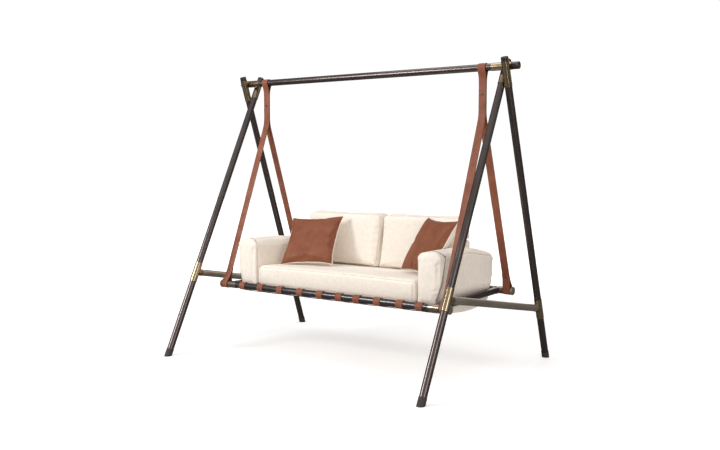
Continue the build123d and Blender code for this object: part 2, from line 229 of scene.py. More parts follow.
def makeFloor():
    material, tree, shader, coordinates = newFinish("paleFloor")
    shader.inputs["Roughness"].default_value = studio["floorRoughness"]
    shader.inputs["Specular IOR Level"].default_value = studio["floorShine"]
    shader.inputs["Emission Color"].default_value = (1, 1, 1, 1)
    seen = tree.nodes.new("ShaderNodeLightPath").outputs
    shade = mixColour(tree, seen["Is Glossy Ray"], studio["floorShade"], studio["floorMirrored"])
    tree.links.new(shade, shader.inputs["Base Color"])
    distance = addVectorMath(tree, "LENGTH", coordinates["Object"], None, "Value")
    fade = spread(tree, distance, *studio["floorFade"], *studio["floorGlow"], "SMOOTHSTEP")
    glow = addMath(tree, "MULTIPLY", seen["Is Camera Ray"], fade)
    tree.links.new(glow, shader.inputs["Emission Strength"])
    bm = bmesh.new()
    bmesh.ops.create_grid(bm, x_segments=1, y_segments=1, size=studio["floorSize"] / 2)
    floor = newPiece("floor", bm, material)


for softboxName, values in softboxes.items():
    makeSoftbox(softboxName, *values)
makeRoom()
makeFloor()
print("studio ready")

# Shader groups shared by the finishes
texture = {
    "hairStretch": (0.012, 1.0, 1.0),
    "hairScale": 260.0,
    "patchScale": 5.0,
    "slubScale": 38.0,
    "warpScale": 90.0,  # leather cells are bent by a slow noise
    "warp": 0.004,
    "cellEdge": 0.28,
    "toneScale": 11.0,
    "poreScale": 900.0,
}


def newGroup(name, inputs, outputs):
    # an input with no value is a vector, the others are numbers
    group = bpy.data.node_groups.new(name, "ShaderNodeTree")
    for socketName, value in inputs.items():
        kind = "NodeSocketVector" if value is None else "NodeSocketFloat"
        socket = group.interface.new_socket(socketName, in_out="INPUT", socket_type=kind)
        if value is not None:
            socket.default_value = value
    for socketName in outputs:
        group.interface.new_socket(socketName, in_out="OUTPUT", socket_type="NodeSocketFloat")
    given = group.nodes.new("NodeGroupInput").outputs
    result = group.nodes.new("NodeGroupOutput").inputs
    return group, given, result


def makeHairlines():
    # fine lines along local X, with softer patches of handling between them
    group, given, result = newGroup(
        "hairlines", {"Vector": None, "Fineness": texture["hairScale"]}, ("Line", "Patch")
    )
    stretched = addVectorMath(group, "MULTIPLY", given["Vector"], texture["hairStretch"])
    fine = addNoise(group, stretched, given["Fineness"], 4.0, 0.6)
    patch = addNoise(group, given["Vector"], texture["patchScale"], 4.0, 0.6)
    group.links.new(fine, result["Line"])
    group.links.new(patch, result["Patch"])
    return group


def makeWeave():
    # plain weave on every face: the two thread directions that lie in it
    group, given, result = newGroup(
        "plainWeave", {"Vector": None, "Normal": None, "Thread": 0.0011}, ("Height", "Slub")
    )
    place = group.nodes.new("ShaderNodeSeparateXYZ")
    facing = group.nodes.new("ShaderNodeSeparateXYZ")
    group.links.new(given["Vector"], place.inputs[0])
    group.links.new(given["Normal"], facing.inputs[0])
    turn = addMath(group, "DIVIDE", pi, given["Thread"])
    waves = []
    for axis in range(3):
        phase = addMath(group, "MULTIPLY", place.outputs[axis], turn)
        waves.append(addMath(group, "SINE", phase))
    total = 0.0
    for axis in range(3):
        crossing = addMath(group, "MULTIPLY", waves[(axis + 1) % 3], waves[(axis + 2) % 3])
        share = addMath(group, "MULTIPLY", facing.outputs[axis], facing.outputs[axis])
        total = addMath(group, "MULTIPLY_ADD", crossing, share, total)
    group.links.new(addMath(group, "MULTIPLY_ADD", total, 0.5, 0.5), result["Height"])
    slub = addNoise(group, given["Vector"], texture["slubScale"], 5.0, 0.65)
    group.links.new(slub, result["Slub"])
    return group


def makeLeatherGrain():
    # pebbled cells with pores, and slow tone changes from tanning and handling
    group, given, result = newGroup(
        "leatherGrain", {"Vector": None, "Cells": 620.0}, ("Height", "Tone", "Pore")
    )
    bend = addNoise(group, given["Vector"], texture["warpScale"], 2.0)
    wobble = addMath(group, "MULTIPLY", bend, texture["warp"])
    cells = group.nodes.new("ShaderNodeTexVoronoi")
    cells.feature = "DISTANCE_TO_EDGE"
    group.links.new(given["Cells"], cells.inputs["Scale"])
    group.links.new(addVectorMath(group, "ADD", given["Vector"], wobble), cells.inputs["Vector"])
    pebble = spread(group, cells.outputs["Distance"], 0.0, texture["cellEdge"], kind="SMOOTHSTEP")
    group.links.new(pebble, result["Height"])
    tone = addNoise(group, given["Vector"], texture["toneScale"], 6.0, 0.62)
    pore = addNoise(group, given["Vector"], texture["poreScale"], 2.0)
    group.links.new(tone, result["Tone"])
    group.links.new(pore, result["Pore"])
    return group


hairlines = makeHairlines()
plainWeave = makeWeave()
leatherGrain = makeLeatherGrain()


def addGroup(tree, group, vector, **values):
    node = tree.nodes.new("ShaderNodeGroup")
    node.node_tree = group
    tree.links.new(vector, node.inputs["Vector"])
    for socketName, value in values.items():
        node.inputs[socketName].default_value = value
    return node


def makeMetal(name, direction, shades, metallic, roughness, coat=0.0):
    # the hairlines run along the tube, so the pattern is turned to its direction
    material, tree, shader, coordinates = newFinish(name)
    turned = tree.nodes.new("ShaderNodeMapping")
    turned.vector_type = "TEXTURE"
    turned.inputs["Rotation"].default_value = Vector(direction).to_track_quat("X", "Z").to_euler()
    tree.links.new(coordinates["Object"], turned.inputs["Vector"])
    lines = addGroup(tree, hairlines, turned.outputs[0]).outputs
    tone = addMath(tree, "MULTIPLY_ADD", lines["Patch"], 0.5, 0.0)
    tone = addMath(tree, "MULTIPLY_ADD", lines["Line"], 0.5, tone)
    share = spread(tree, tone, 0.30, 0.70, 0.15, 0.85)
    tree.links.new(mixColour(tree, share, *shades), shader.inputs["Base Color"])
    rough = spread(tree, lines["Patch"], 0.3, 0.7, roughness - 0.05, roughness + 0.07)
    tree.links.new(rough, shader.inputs["Roughness"])
    shader.inputs["Metallic"].default_value = metallic
    shader.inputs["Coat Weight"].default_value = coat
    shader.inputs["Coat Roughness"].default_value = 0.18
    addBump(tree, shader, lines["Line"], 0.02, 0.0002)
    return material


def makeRubber(name, shade):
    material, tree, shader, coordinates = newFinish(name)
    speckle = addNoise(tree, coordinates["Object"], 700.0, 3.0)
    scuff = addNoise(tree, coordinates["Object"], 45.0, 4.0)
    paler = tuple(channel * 1.8 + 0.004 for channel in shade)
    tree.links.new(mixColour(tree, scuff, shade, paler), shader.inputs["Base Color"])
    tree.links.new(spread(tree, scuff, 0.3, 0.7, 0.55, 0.8), shader.inputs["Roughness"])
    addBump(tree, shader, speckle, 0.3, 0.0002)
    return material


def makeLeather(name, shades, cells, roughness):
    material, tree, shader, coordinates = newFinish(name)
    grain = addGroup(tree, leatherGrain, coordinates["Object"], Cells=cells).outputs
    dark, light = shades
    toned = mixColour(tree, spread(tree, grain["Tone"], 0.3, 0.7), dark, light)
    # painted shade: the colour darkens to 72 % in the valleys between the pebbles
    valleyShade = tuple(channel * 0.72 for channel in dark)
    valley = spread(tree, grain["Height"], 0.0, 0.6, 0.35, 1.0)
    tree.links.new(mixColour(tree, valley, valleyShade, toned), shader.inputs["Base Color"])
    rough = spread(tree, grain["Tone"], 0.3, 0.7, roughness + 0.06, roughness - 0.06)
    tree.links.new(rough, shader.inputs["Roughness"])
    shader.inputs["Specular IOR Level"].default_value = 0.35
    height = addMath(tree, "MULTIPLY_ADD", grain["Pore"], 0.3, grain["Height"])
    addBump(tree, shader, height, 0.4, 0.0004)
    return material


def makeCloth(name, shades, thread, sheen=0.25):
    material, tree, shader, coordinates = newFinish(name)
    group = addGroup(tree, plainWeave, coordinates["Object"], Thread=thread)
    tree.links.new(coordinates["Normal"], group.inputs["Normal"])
    weave = group.outputs
    slub = spread(tree, weave["Slub"], 0.3, 0.7, 0.0, 0.7)
    # painted shade: the low places of the weave are darker, and the slub adds random tone
    share = addMath(tree, "MULTIPLY_ADD", weave["Height"], 0.3, slub)
    tree.links.new(mixColour(tree, share, *shades), shader.inputs["Base Color"])
    tree.links.new(spread(tree, weave["Slub"], 0.3, 0.7, 0.82, 0.92), shader.inputs["Roughness"])
    shader.inputs["Specular IOR Level"].default_value = 0.2
    shader.inputs["Sheen Weight"].default_value = sheen
    shader.inputs["Sheen Roughness"].default_value = 0.5
    addBump(tree, shader, weave["Height"], 0.35, 0.0003)
    return material


def runOf(node):
    # direction of a leaning tube in the YZ plane, from its box
    width, depth, height = boxSize(node)
    return Vector((0, depth - width * 0.5, height - width * 0.3))


frontRun = runOf("leg_front_right")
rearRun = runOf("leg_rear_right")
rearRun.y = -rearRun.y
stretcherRun = Vector((0, boxSize("stretcher_right").y, -0.2))
alongX, alongY, alongZ = (1, 0, 0), (0, 1, 0), (0, 0, 1)

# Finishes: dark and light shade of each
shadePairs = {
    "tube": ((0.058, 0.045, 0.042), (0.125, 0.102, 0.097)),
    "rail": ((0.040, 0.036, 0.038), (0.085, 0.080, 0.086)),
    "bronze": ((0.230, 0.175, 0.110), (0.480, 0.380, 0.250)),
    "stretcher": ((0.330, 0.285, 0.225), (0.560, 0.500, 0.410)),
    "cap": ((0.360, 0.290, 0.205), (0.620, 0.530, 0.410)),
    "nickel": ((0.190, 0.155, 0.115), (0.470, 0.400, 0.310)),
    "snap": ((0.030, 0.027, 0.024), (0.120, 0.108, 0.095)),
    "belt": ((0.215, 0.062, 0.030), (0.350, 0.118, 0.060)),
    "beltEdge": ((0.050, 0.017, 0.010), (0.105, 0.038, 0.022)),
    "pillow": ((0.195, 0.056, 0.022), (0.305, 0.098, 0.044)),
    "cream": ((0.820, 0.735, 0.640), (0.940, 0.870, 0.795)),
    # the seam's darker cream is painted shade: it colours the sunk seam lines darker than the cloth
    "seam": ((0.500, 0.415, 0.335), (0.660, 0.565, 0.470)),
    # the groove's dark brown-grey is painted shade, for the deep shadow in the arm's groove
    "shadedGroove": ((0.300, 0.245, 0.200), (0.420, 0.350, 0.290)),
    "piping": ((0.720, 0.640, 0.520), (0.860, 0.800, 0.700)),
}
metals = {
    # name, direction of the hairlines, shade, metallic, roughness, coat
    "frontLeg": ("gunmetalFrontLeg", frontRun, "tube", 0.85, 0.26, 0.2),
    "rearLeg": ("gunmetalRearLeg", rearRun, "tube", 0.85, 0.26, 0.2),
    "bar": ("gunmetalBar", alongX, "tube", 0.85, 0.26, 0.2),
    "rail": ("gunmetalRail", alongX, "rail", 0.80, 0.26, 0.25),
    "sideTube": ("gunmetalSideTube", alongY, "tube", 0.85, 0.30, 0.2),
    "stretcher": ("satinBronzeTube", stretcherRun, "stretcher", 0.9, 0.33),
    "fitting": ("polishedBronzeFitting", alongX, "bronze", 1.0, 0.17),
    "legFitting": ("polishedBronzeSleeve", frontRun, "bronze", 1.0, 0.19),
    "railFitting": ("agedNickelTee", alongX, "nickel", 1.0, 0.18),
    "cap": ("paleBronzeCap", alongY, "cap", 0.95, 0.3),
    "snap": ("darkNickelSnap", alongZ, "snap", 1.0, 0.22),
}
finishes = {
    key: makeMetal(name, direction, shadePairs[shade], *values)
    for key, (name, direction, shade, *values) in metals.items()
}
finishes.update({
    "foot": makeRubber("footRubber", (0.026, 0.020, 0.019)),
    "belt": makeLeather("saddleLeather", shadePairs["belt"], 620.0, 0.5),
    "beltEdge": makeLeather("burnishedEdge", shadePairs["beltEdge"], 900.0, 0.38),
    "pillow": makeLeather("rustPillowLeather", shadePairs["pillow"], 480.0, 0.55),
    "cream": makeCloth("creamCloth", shadePairs["cream"], 0.0011),
    # painted shade for the seam lines
    "seam": makeCloth("seamShadeCloth", shadePairs["seam"], 0.0009, 0.1),
    # painted shade for the cord in the arm's groove
    "shadedGroove": makeCloth("grooveShadeCloth", shadePairs["shadedGroove"], 0.0009, 0.0),
    "piping": makeCloth("creamPiping", shadePairs["piping"], 0.0008),
})
print("finishes ready")

# CAD nodes that stay, each with its finish
keptFinishes = {
    "leg_front_": "frontLeg",
    "leg_rear_": "rearLeg",
    "leg_caps": "rearLeg",
    "top_bar": "bar",
    "bar_caps": "bar",
    "connector_": "fitting",
    "stretcher_tee_": "legFitting",
    "stretcher_": "stretcher",
    "rail_tee_": "railFitting",
    "rail_cap_": "cap",
    "rail_": "rail",
    "side_tube_": "sideTube",
    "foot_": "foot",
}
for node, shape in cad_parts.items():
    start = next((key for key in keptFinishes if node.startswith(key)), None)
    if start:
        shape.data.materials.clear()
        shape.data.materials.append(finishes[keptFinishes[start]])
print("metal frame finished")


# Shared making
def settle(piece):
    # the modifiers become the mesh
    evaluated = piece.evaluated_get(bpy.context.evaluated_depsgraph_get())
    mesh = bpy.data.meshes.new_from_object(evaluated)
    piece.modifiers.clear()
    spare = piece.data
    piece.data = mesh
    bpy.data.meshes.remove(spare)


def smoothAll(piece):
    for face in piece.data.polygons:
        face.use_smooth = True


def remesh(piece, voxel):
    modifier = piece.modifiers.new("remesh", "REMESH")
    modifier.mode = "VOXEL"
    modifier.voxel_size = voxel
    settle(piece)


def relax(piece, rounds):
    bm = bmesh.new()
    bm.from_mesh(piece.data)
    freely = {"use_axis_x": True, "use_axis_y": True, "use_axis_z": True}
    for _ in range(rounds):
        bmesh.ops.smooth_vert(bm, verts=bm.verts, factor=0.5, **freely)
    bm.to_mesh(piece.data)
    bm.free()


clothStrength = {
    "tension_stiffness": 12,
    "compression_stiffness": 12,
    "bending_stiffness": 2,
}


def puff(piece, pressure, cap, frames=14):
    # cloth filled from inside; no point moves further than cap
    rest = [vertex.co.copy() for vertex in piece.data.vertices]
    cloth = piece.modifiers.new("filling", "CLOTH")
    cloth.settings.quality = 4
    cloth.settings.use_pressure = True
    cloth.settings.uniform_pressure_force = pressure
    for setting, strength in clothStrength.items():
        setattr(cloth.settings, setting, strength)
    cloth.settings.effector_weights.gravity = 0
    cloth.point_cache.frame_start = 1
    cloth.point_cache.frame_end = frames
    for number in range(1, frames + 1):
        scene.frame_set(number)
    settle(piece)
    scene.frame_set(1)
    for vertex, start in zip(piece.data.vertices, rest):
        move = vertex.co - start
        if move.length > cap:
            vertex.co = start + move * (cap / move.length)


def keepWithin(piece, low, high):
    for vertex in piece.data.vertices:
        for axis in range(3):
            vertex.co[axis] = min(max(vertex.co[axis], low[axis]), high[axis])


def subdivide(piece):
    modifier = piece.modifiers.new("finer", "SUBSURF")
    modifier.levels = 1
    modifier.render_levels = 1
    settle(piece)


def ripple(piece, height, length, seed):
    # slow unevenness of a filled cover
    offset = Vector((seed, seed * 0.7, -seed))
    normals = [vertex.normal.copy() for vertex in piece.data.vertices]
    for vertex, normal in zip(piece.data.vertices, normals):
        vertex.co += normal * (height * noise.noise(vertex.co / length + offset))


stitchStep = 0.006  # spacing of the points of a seam


def roundedLoop(corners, radius):
    # a closed line through the corners, rounded at each
    bm = bmesh.new()
    bm.faces.new([bm.verts.new(corner) for corner in corners])
    bmesh.ops.bevel(
        bm, geom=bm.verts[:], affect="VERTICES", offset=radius, segments=6, profile=0.5, material=-1
    )
    bm.faces.ensure_lookup_table()
    points = [loop.vert.co.copy() for loop in bm.faces[0].loops]
    bm.free()
    return lineThrough(points + points[:1])[:-1]


def lineThrough(corners):
    # an open line through the corners
    line = [corners[0]]
    for start, end in zip(corners, corners[1:]):
        steps = max(1, ceil((end - start).length / stitchStep))
        line += [start.lerp(end, step / steps) for step in range(1, steps + 1)]
    return line


def pressOnto(piece, points):
    # nearest place on the piece for each point
    tree = BVHTree.FromObject(piece, bpy.context.evaluated_depsgraph_get())
    return [tree.find_nearest(point)[:2] for point in points]


def sew(piece, loops, seam, closed=True):
    # pulls the cover in along each loop and lays a joined edge in the valley
    tree = KDTree(sum(len(loop) for loop in loops))
    index = 0
    for loop in loops:
        for place, _ in pressOnto(piece, loop):
            tree.insert(place, index)
            index += 1
    tree.balance()
    normals = [vertex.normal.copy() for vertex in piece.data.vertices]
    for vertex, normal in zip(piece.data.vertices, normals):
        distance = tree.find(vertex.co)[2]
        if distance < 3 * seam["reach"]:
            pull = seam["depth"] * exp(-((distance / seam["reach"]) ** 2))
            vertex.co -= normal * pull
    lines = []
    for loop in loops:
        lines.append([place - normal * seam["sunk"] for place, normal in pressOnto(piece, loop)])
    return tubeLoops(
        piece.name + "Seams", lines, seam["radius"], finishes[seam["finish"]], closed
    )


def tubeLoops(name, lines, radius, material, closed=True):
    curve = bpy.data.curves.new(name, "CURVE")
    curve.dimensions = "3D"
    curve.bevel_depth = radius
    curve.bevel_resolution = 1
    curve.use_fill_caps = True
    for line in lines:
        spline = curve.splines.new("POLY")
        spline.points.add(len(line) - 1)
        for point, place in zip(spline.points, line):
            point.co = (*place, 1)
        spline.use_cyclic_u = closed
    holder = bpy.data.objects.new(name + "Curve", curve)
    scene.collection.objects.link(holder)
    bpy.context.view_layer.update()
    evaluated = holder.evaluated_get(bpy.context.evaluated_depsgraph_get())
    mesh = bpy.data.meshes.new_from_object(evaluated)
    bpy.data.objects.remove(holder)
    mesh.materials.clear()
    mesh.materials.append(material)
    piece = bpy.data.objects.new(name, mesh)
    scene.collection.objects.link(piece)
    smoothAll(piece)
    return piece


def hangOnSwing(piece, slot, *nodes):
    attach(piece, "swing")
    if nodes:
        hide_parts(*nodes)


# Sofa
# the seam cord sits in a pulled-in valley and is coloured darker as painted shade
plainSeam = {"depth": 0.0035, "reach": 0.007, "sunk": 0.0004, "radius": 0.0016, "finish": "seam"}


def finishCushion(piece, node, seams):
    smoothAll(piece)
    hangOnSwing(piece, "cream_upholstery", node)
    if seams:
        hangOnSwing(seams, "cream_upholstery", node)


seatCushion = {
    "inset": 0.003,
    "edgeRound": 0.018,
    "voxel": 0.011,
    "pressure": 4.0,
    "cap": 0.010,
    "crown": 0.007,
    "frontLift": 0.010,  # the top falls a little towards the back
    "rearDrop": 0.020,
    "ripple": 0.0016,
    "seamRound": 0.03,
    "room": ((0, -0.008, 0), (0, 0, 0.004)),  # how far it may fill past its box
    "endSeam": 0.03,  # upright seams of the front, from each end
}


def boxEdges(bm, axis):
    # edges that run along one axis
    found = []
    for edge in bm.edges:
        run = (edge.verts[1].co - edge.verts[0].co).normalized()
        if abs(run[axis]) > 0.999:
            found.append(edge)
    return found


def startBox(low, high):
    bm = bmesh.new()
    bmesh.ops.create_cube(bm, size=1.0)
    bmesh.ops.scale(bm, vec=high - low, verts=bm.verts)
    bmesh.ops.translate(bm, vec=(low + high) / 2, verts=bm.verts)
    return bm


def roundEdges(bm, edges, radius, segments=4):
    bmesh.ops.bevel(
        bm, geom=edges, affect="EDGES", offset=radius, segments=segments, profile=0.5, material=-1
    )


def extrudeProfile(outline, move):
    bm = bmesh.new()
    face = bm.faces.new([bm.verts.new(corner) for corner in outline])
    grown = bmesh.ops.extrude_face_region(bm, geom=[face])
    moved = [item for item in grown["geom"] if isinstance(item, bmesh.types.BMVert)]
    bmesh.ops.translate(bm, vec=move, verts=moved)
    bmesh.ops.recalc_face_normals(bm, faces=bm.faces)
    return bm


def fillCover(piece, values, low, high, seed):
    # rounds, fills and unsettles a cover, which stays between low and high
    remesh(piece, values["voxel"])
    relax(piece, values["relax"])
    puff(piece, values["pressure"], values["cap"])
    keepWithin(piece, low, high)
    subdivide(piece)
    ripple(piece, values["ripple"], values["rippleLength"], seed)
    keepWithin(piece, low, high)


def makeSeat():
    low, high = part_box("seat_cushion")
    inset = Vector((1, 1, 1)) * seatCushion["inset"]
    bm = startBox(low + inset, high - inset)
    roundEdges(bm, bm.edges[:], seatCushion["edgeRound"])
    piece = newPiece("seatCushion", bm, finishes["cream"])
    remesh(piece, seatCushion["voxel"])
    puff(piece, seatCushion["pressure"], seatCushion["cap"])
    below, above = (Vector(reach) for reach in seatCushion["room"])
    keepWithin(piece, low + below, high + above)
    subdivide(piece)
    ripple(piece, seatCushion["ripple"], 0.16, 3.0)

    def topLift(x, y):
        back = (y - low.y) / (high.y - low.y)
        fall = seatCushion["frontLift"] * (1 - back) - seatCushion["rearDrop"] * back
        return fall + seatCushion["crown"] * (1 - (x / high.x) ** 2) * (1 - back)

    for vertex in piece.data.vertices:
        share = (vertex.co.z - low.z) / (high.z - low.z)
        vertex.co.z += topLift(vertex.co.x, vertex.co.y) * share
        vertex.co.z = max(vertex.co.z, low.z)
    loops = []
    for level in (high.z, low.z):
        lift = topLift(high.x, low.y) if level == high.z else 0
        drop = topLift(high.x, high.y) if level == high.z else 0
        middle = Vector((0, low.y, level + (topLift(0, low.y) if level == high.z else 0)))
        corners = [
            (low.x, low.y, level + lift), middle, (high.x, low.y, level + lift),
            (high.x, high.y, level + drop), (low.x, high.y, level + drop),
        ]
        loops.append(roundedLoop(corners, seatCushion["seamRound"]))
    for edge in (low.x, high.x):
        side = -1 if edge < 0 else 1
        inner = edge - side * seatCushion["endSeam"]
        corners = [
            (inner, low.y, low.z + 0.01), (inner, low.y, high.z - 0.01),
            (inner, low.y + 0.001, high.z - 0.01), (inner, low.y + 0.001, low.z + 0.01),
        ]
        loops.append(roundedLoop(corners, 0.0002))
    seams = sew(piece, loops, plainSeam)
    finishCushion(piece, "seat_cushion", seams)


makeSeat()
print("seat cushion made")

backCushion = {
    "inset": 0.002,
    "cornerRound": 0.050,
    "voxel": 0.0095,
    "relax": 4,
    "pressure": 4.5,
    "cap": 0.014,
    "ripple": 0.0020,
    "rippleLength": 0.13,
    "topLift": 0.012,
    "footDrop": 0.012,
    "slack": (0.008, 0.012),  # how far it may fill past its box, in front and behind
}


def makeBack(sideName, seed):
    node = "back_cushion_" + sideName
    low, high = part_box(node)
    panelLow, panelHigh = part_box("back_panel")
    step = backCushion["inset"]
    seatTop = low.z - backCushion["footDrop"]
    top = high.z + backCushion["topLift"]
    lean = frontLean(node)
    outline = [
        (low.y + step, seatTop + step), (low.y + lean + step * 0.6, top - step),
        (high.y - step, top - step), (high.y - step, panelHigh.z + step),
        (panelLow.y - step, panelHigh.z + step), (panelLow.y - step, seatTop + step),
    ]
    outline = [(low.x + step, y, z) for y, z in outline]
    bm = extrudeProfile(outline, (high.x - low.x - 2 * step, 0, 0))
    topCorners = [edge for edge in boxEdges(bm, 1) if edge.verts[0].co.z > top - 2 * step]
    roundEdges(bm, topCorners, backCushion["cornerRound"], 6)
    piece = newPiece("backCushion_" + sideName, bm, finishes["cream"])
    inFront, behind = backCushion["slack"]
    reachLow = low - Vector((0, inFront, backCushion["footDrop"]))
    reachHigh = high + Vector((0, behind, backCushion["topLift"] + behind))
    fillCover(piece, backCushion, reachLow, reachHigh, seed)
    front = [
        (low.x, low.y, low.z), (high.x, low.y, low.z),
        (high.x, low.y + lean, top), (low.x, low.y + lean, top),
    ]
    rear = [
        (low.x, high.y, panelHigh.z), (high.x, high.y, panelHigh.z),
        (high.x, high.y, top), (low.x, high.y, top),
    ]
    loops = [roundedLoop(corners, backCushion["cornerRound"]) for corners in (front, rear)]
    seams = sew(piece, loops, plainSeam)
    finishCushion(piece, node, seams)


def frontLean(node):
    # how far the top of the front face stands behind its foot
    low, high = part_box(node)
    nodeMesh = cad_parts[node].data
    level = high.z - 0.3 * (high.z - low.z)
    foremost = min(v.co.y for v in nodeMesh.vertices if v.co.z > level)
    highest = max(v.co.z for v in nodeMesh.vertices if v.co.y < foremost + 0.0001)
    return (foremost - low.y) * (high.z - low.z) / (highest - low.z)


for sideName, seed in (("left", 11.0), ("right", 23.0)):
    makeBack(sideName, seed)
print("back cushions made")

armRest = {
    "inset": 0.002,
    "topRound": 0.052,
    "rearFall": 0.05,  # from there the top falls to the rear
    "level": 0.15,  # the top is level as far back as the bar
    "voxel": 0.009,
    "relax": 2,
    "pressure": 4.0,
    "cap": 0.009,
    "ripple": 0.0012,
    "rippleLength": 0.14,
    "slack": 0.004,
    "footOut": 0.016,  # the outer side bellies out just above the tube
    "swell": 0.006,
    # the front panel's joint: how far behind the front at the foot, half way and on top
    "panelSetBack": (0.004, 0.034, 0.074),
    "innerSetBack": 0.024,
    # the groove: the cover is pulled in and a dark cord is laid along it, coloured as painted shade
    "shadedGroove": {
        "depth": 0.006, "reach": 0.009, "sunk": -0.0014, "radius": 0.0052, "finish": "shadedGroove",
    },
    "sideSeam": 0.12,  # the outer side's seam, behind the front
    "sideSeamDrop": 0.03,
    "sideSeamRound": 0.045,
}


def makeArm(sideName, side, seed):
    node = "arm_" + sideName
    low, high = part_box(node)
    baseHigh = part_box("sofa_base")[1]
    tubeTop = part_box("rail_rear")[1].z
    step = armRest["inset"]
    inner, outer = (high.x, low.x) if side < 0 else (low.x, high.x)
    foot = baseHigh.x * side
    bulged = foot + side * armRest["footOut"]
    widest = outer + side * armRest["swell"]
    rearTop = high.z - armRest["rearFall"]
    section = [
        (inner + side * step, low.z + step), (inner + side * step, high.z - step),
        (widest, high.z - step), (widest, tubeTop + 0.10), (outer - side * 0.006, tubeTop + 0.04),
        (bulged, tubeTop + 0.005), (foot - side * step, low.z + step),
    ]
    section = [(x, low.y + step, z) for x, z in section]
    bm = extrudeProfile(section, (0, high.y - low.y - 2 * step, 0))
    bmesh.ops.bisect_plane(
        bm, geom=bm.verts[:] + bm.edges[:] + bm.faces[:], plane_co=(0, armRest["level"], 0),
        plane_no=(0, 1, 0),
    )
    for vertex in bm.verts:
        if vertex.co.y > armRest["level"] + 0.1 and vertex.co.z > high.z - 2 * step:
            vertex.co.z = rearTop - step
    rounding = []
    for edge in bm.edges:
        first, second = edge.verts
        atTop = min(first.co.z, second.co.z) > rearTop - 2 * step
        acrossRear = min(first.co.y, second.co.y) > high.y - 0.01
        if atTop and (abs(first.co.x - second.co.x) < 0.001 or acrossRear):
            rounding.append(edge)
    roundEdges(bm, rounding, armRest["topRound"], 6)
    piece = newPiece("armRest_" + sideName, bm, finishes["cream"])
    slack = armRest["slack"]
    reachLow = Vector((min(inner, widest), low.y - slack, low.z))
    reachHigh = Vector((max(inner, widest), high.y + slack, high.z + slack))
    fillCover(piece, armRest, reachLow, reachHigh, seed)
    bottom = low.z - 0.01
    start, drop = low.y + armRest["sideSeam"], armRest["sideSeamDrop"]
    outline = [
        (start, bottom), (start, high.z - drop), (armRest["level"], high.z - drop),
        (high.y, rearTop - drop), (high.y, bottom),
    ]
    outerLoop = [(widest, y, z) for y, z in outline]
    seams = sew(piece, [roundedLoop(outerLoop, armRest["sideSeamRound"])], plainSeam)
    seams.name = "armRest_" + sideName + "SideSeams"
    atFoot, halfWay, onTop = (low.y + back for back in armRest["panelSetBack"])
    middleZ = (low.z + high.z) / 2
    grooveLine = [
        Vector((bulged, atFoot, tubeTop)), Vector((widest, halfWay, middleZ)),
        Vector((widest, onTop, high.z - 0.02)), Vector((inner + side * 0.09, onTop - 0.01, high.z)),
    ]
    innerBack = low.y + armRest["innerSetBack"]
    seamLine = [
        grooveLine[-1], Vector((inner + side * 0.02, innerBack + 0.01, high.z)),
        Vector((inner, innerBack, high.z - 0.03)), Vector((inner, innerBack, low.z)),
    ]
    # the dark cord along the groove is painted shade
    shadedGroove = sew(piece, [lineThrough(grooveLine)], armRest["shadedGroove"], closed=False)
    shadedGroove.name = "armRest_" + sideName + "GrooveShade"
    panelSeam = sew(piece, [lineThrough(seamLine)], plainSeam, closed=False)
    panelSeam.name = "armRest_" + sideName + "PanelSeam"
    finishCushion(piece, node, seams)
    hangOnSwing(shadedGroove, "cream_upholstery", node)
    hangOnSwing(panelSeam, "cream_upholstery", node)


for (sideName, side), seed in zip(sides, (31.0, 47.0)):
    makeArm(sideName, side, seed)
print("arms made")

backPanel = {
    "inset": 0.004,
    "round": 0.014,
    "voxel": 0.010,
    "relax": 0,
    "pressure": 3.0,
    "cap": 0.005,
    "ripple": 0.0012,
    "rippleLength": 0.2,
    "slack": 0.004,
}


def makePanel():
    low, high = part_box("back_panel")
    inset = Vector((1, 1, 1)) * backPanel["inset"]
    bm = startBox(low + inset, high - inset)
    roundEdges(bm, bm.edges[:], backPanel["round"], 3)
    piece = newPiece("backPanel", bm, finishes["cream"])
    fillCover(piece, backPanel, low, high + Vector((0, backPanel["slack"], 0)), 53.0)
    corners = [
        (low.x, high.y, low.z), (high.x, high.y, low.z),
        (high.x, high.y, high.z), (low.x, high.y, high.z),
    ]
    seams = sew(piece, [roundedLoop(corners, 0.02)], plainSeam)
    finishCushion(piece, "back_panel", seams)


makePanel()
print("back panel made")


# Leather: each band is a line drawn in the YZ plane, widened and thickened
def startBand():
    bm = bmesh.new()
    bm.verts.layers.float.new("along")
    return bm


bandStep = 0.012  # spacing of the points of a band's line


def drawTo(bm, vertex, y, z, spacing=bandStep):
    start = vertex.co.copy()
    end = Vector((0, y, z))
    steps = max(1, ceil((end - start).length / spacing))
    for step in range(1, steps + 1):
        vertex = bmesh.ops.extrude_vert_indiv(bm, verts=[vertex])["verts"][0]
        vertex.co = start.lerp(end, step / steps)
    return vertex


def drawRound(bm, vertex, centreY, centreZ, angle, steps):
    # angle is positive when it turns from +Y towards +Z
    turned = bmesh.ops.spin(
        bm, geom=[vertex], cent=(0, centreY, centreZ), axis=(1, 0, 0), angle=angle, steps=steps,
        use_merge=False,
    )
    return next(item for item in turned["geom_last"] if isinstance(item, bmesh.types.BMVert))


def easeBends(bm, places, reach, rounds):
    # soft bends where a straight run starts
    near = [v for v in bm.verts if any((v.co - place).length < reach for place in places)]
    for _ in range(rounds):
        bmesh.ops.smooth_vert(bm, verts=near, factor=0.5, use_axis_y=True, use_axis_z=True)


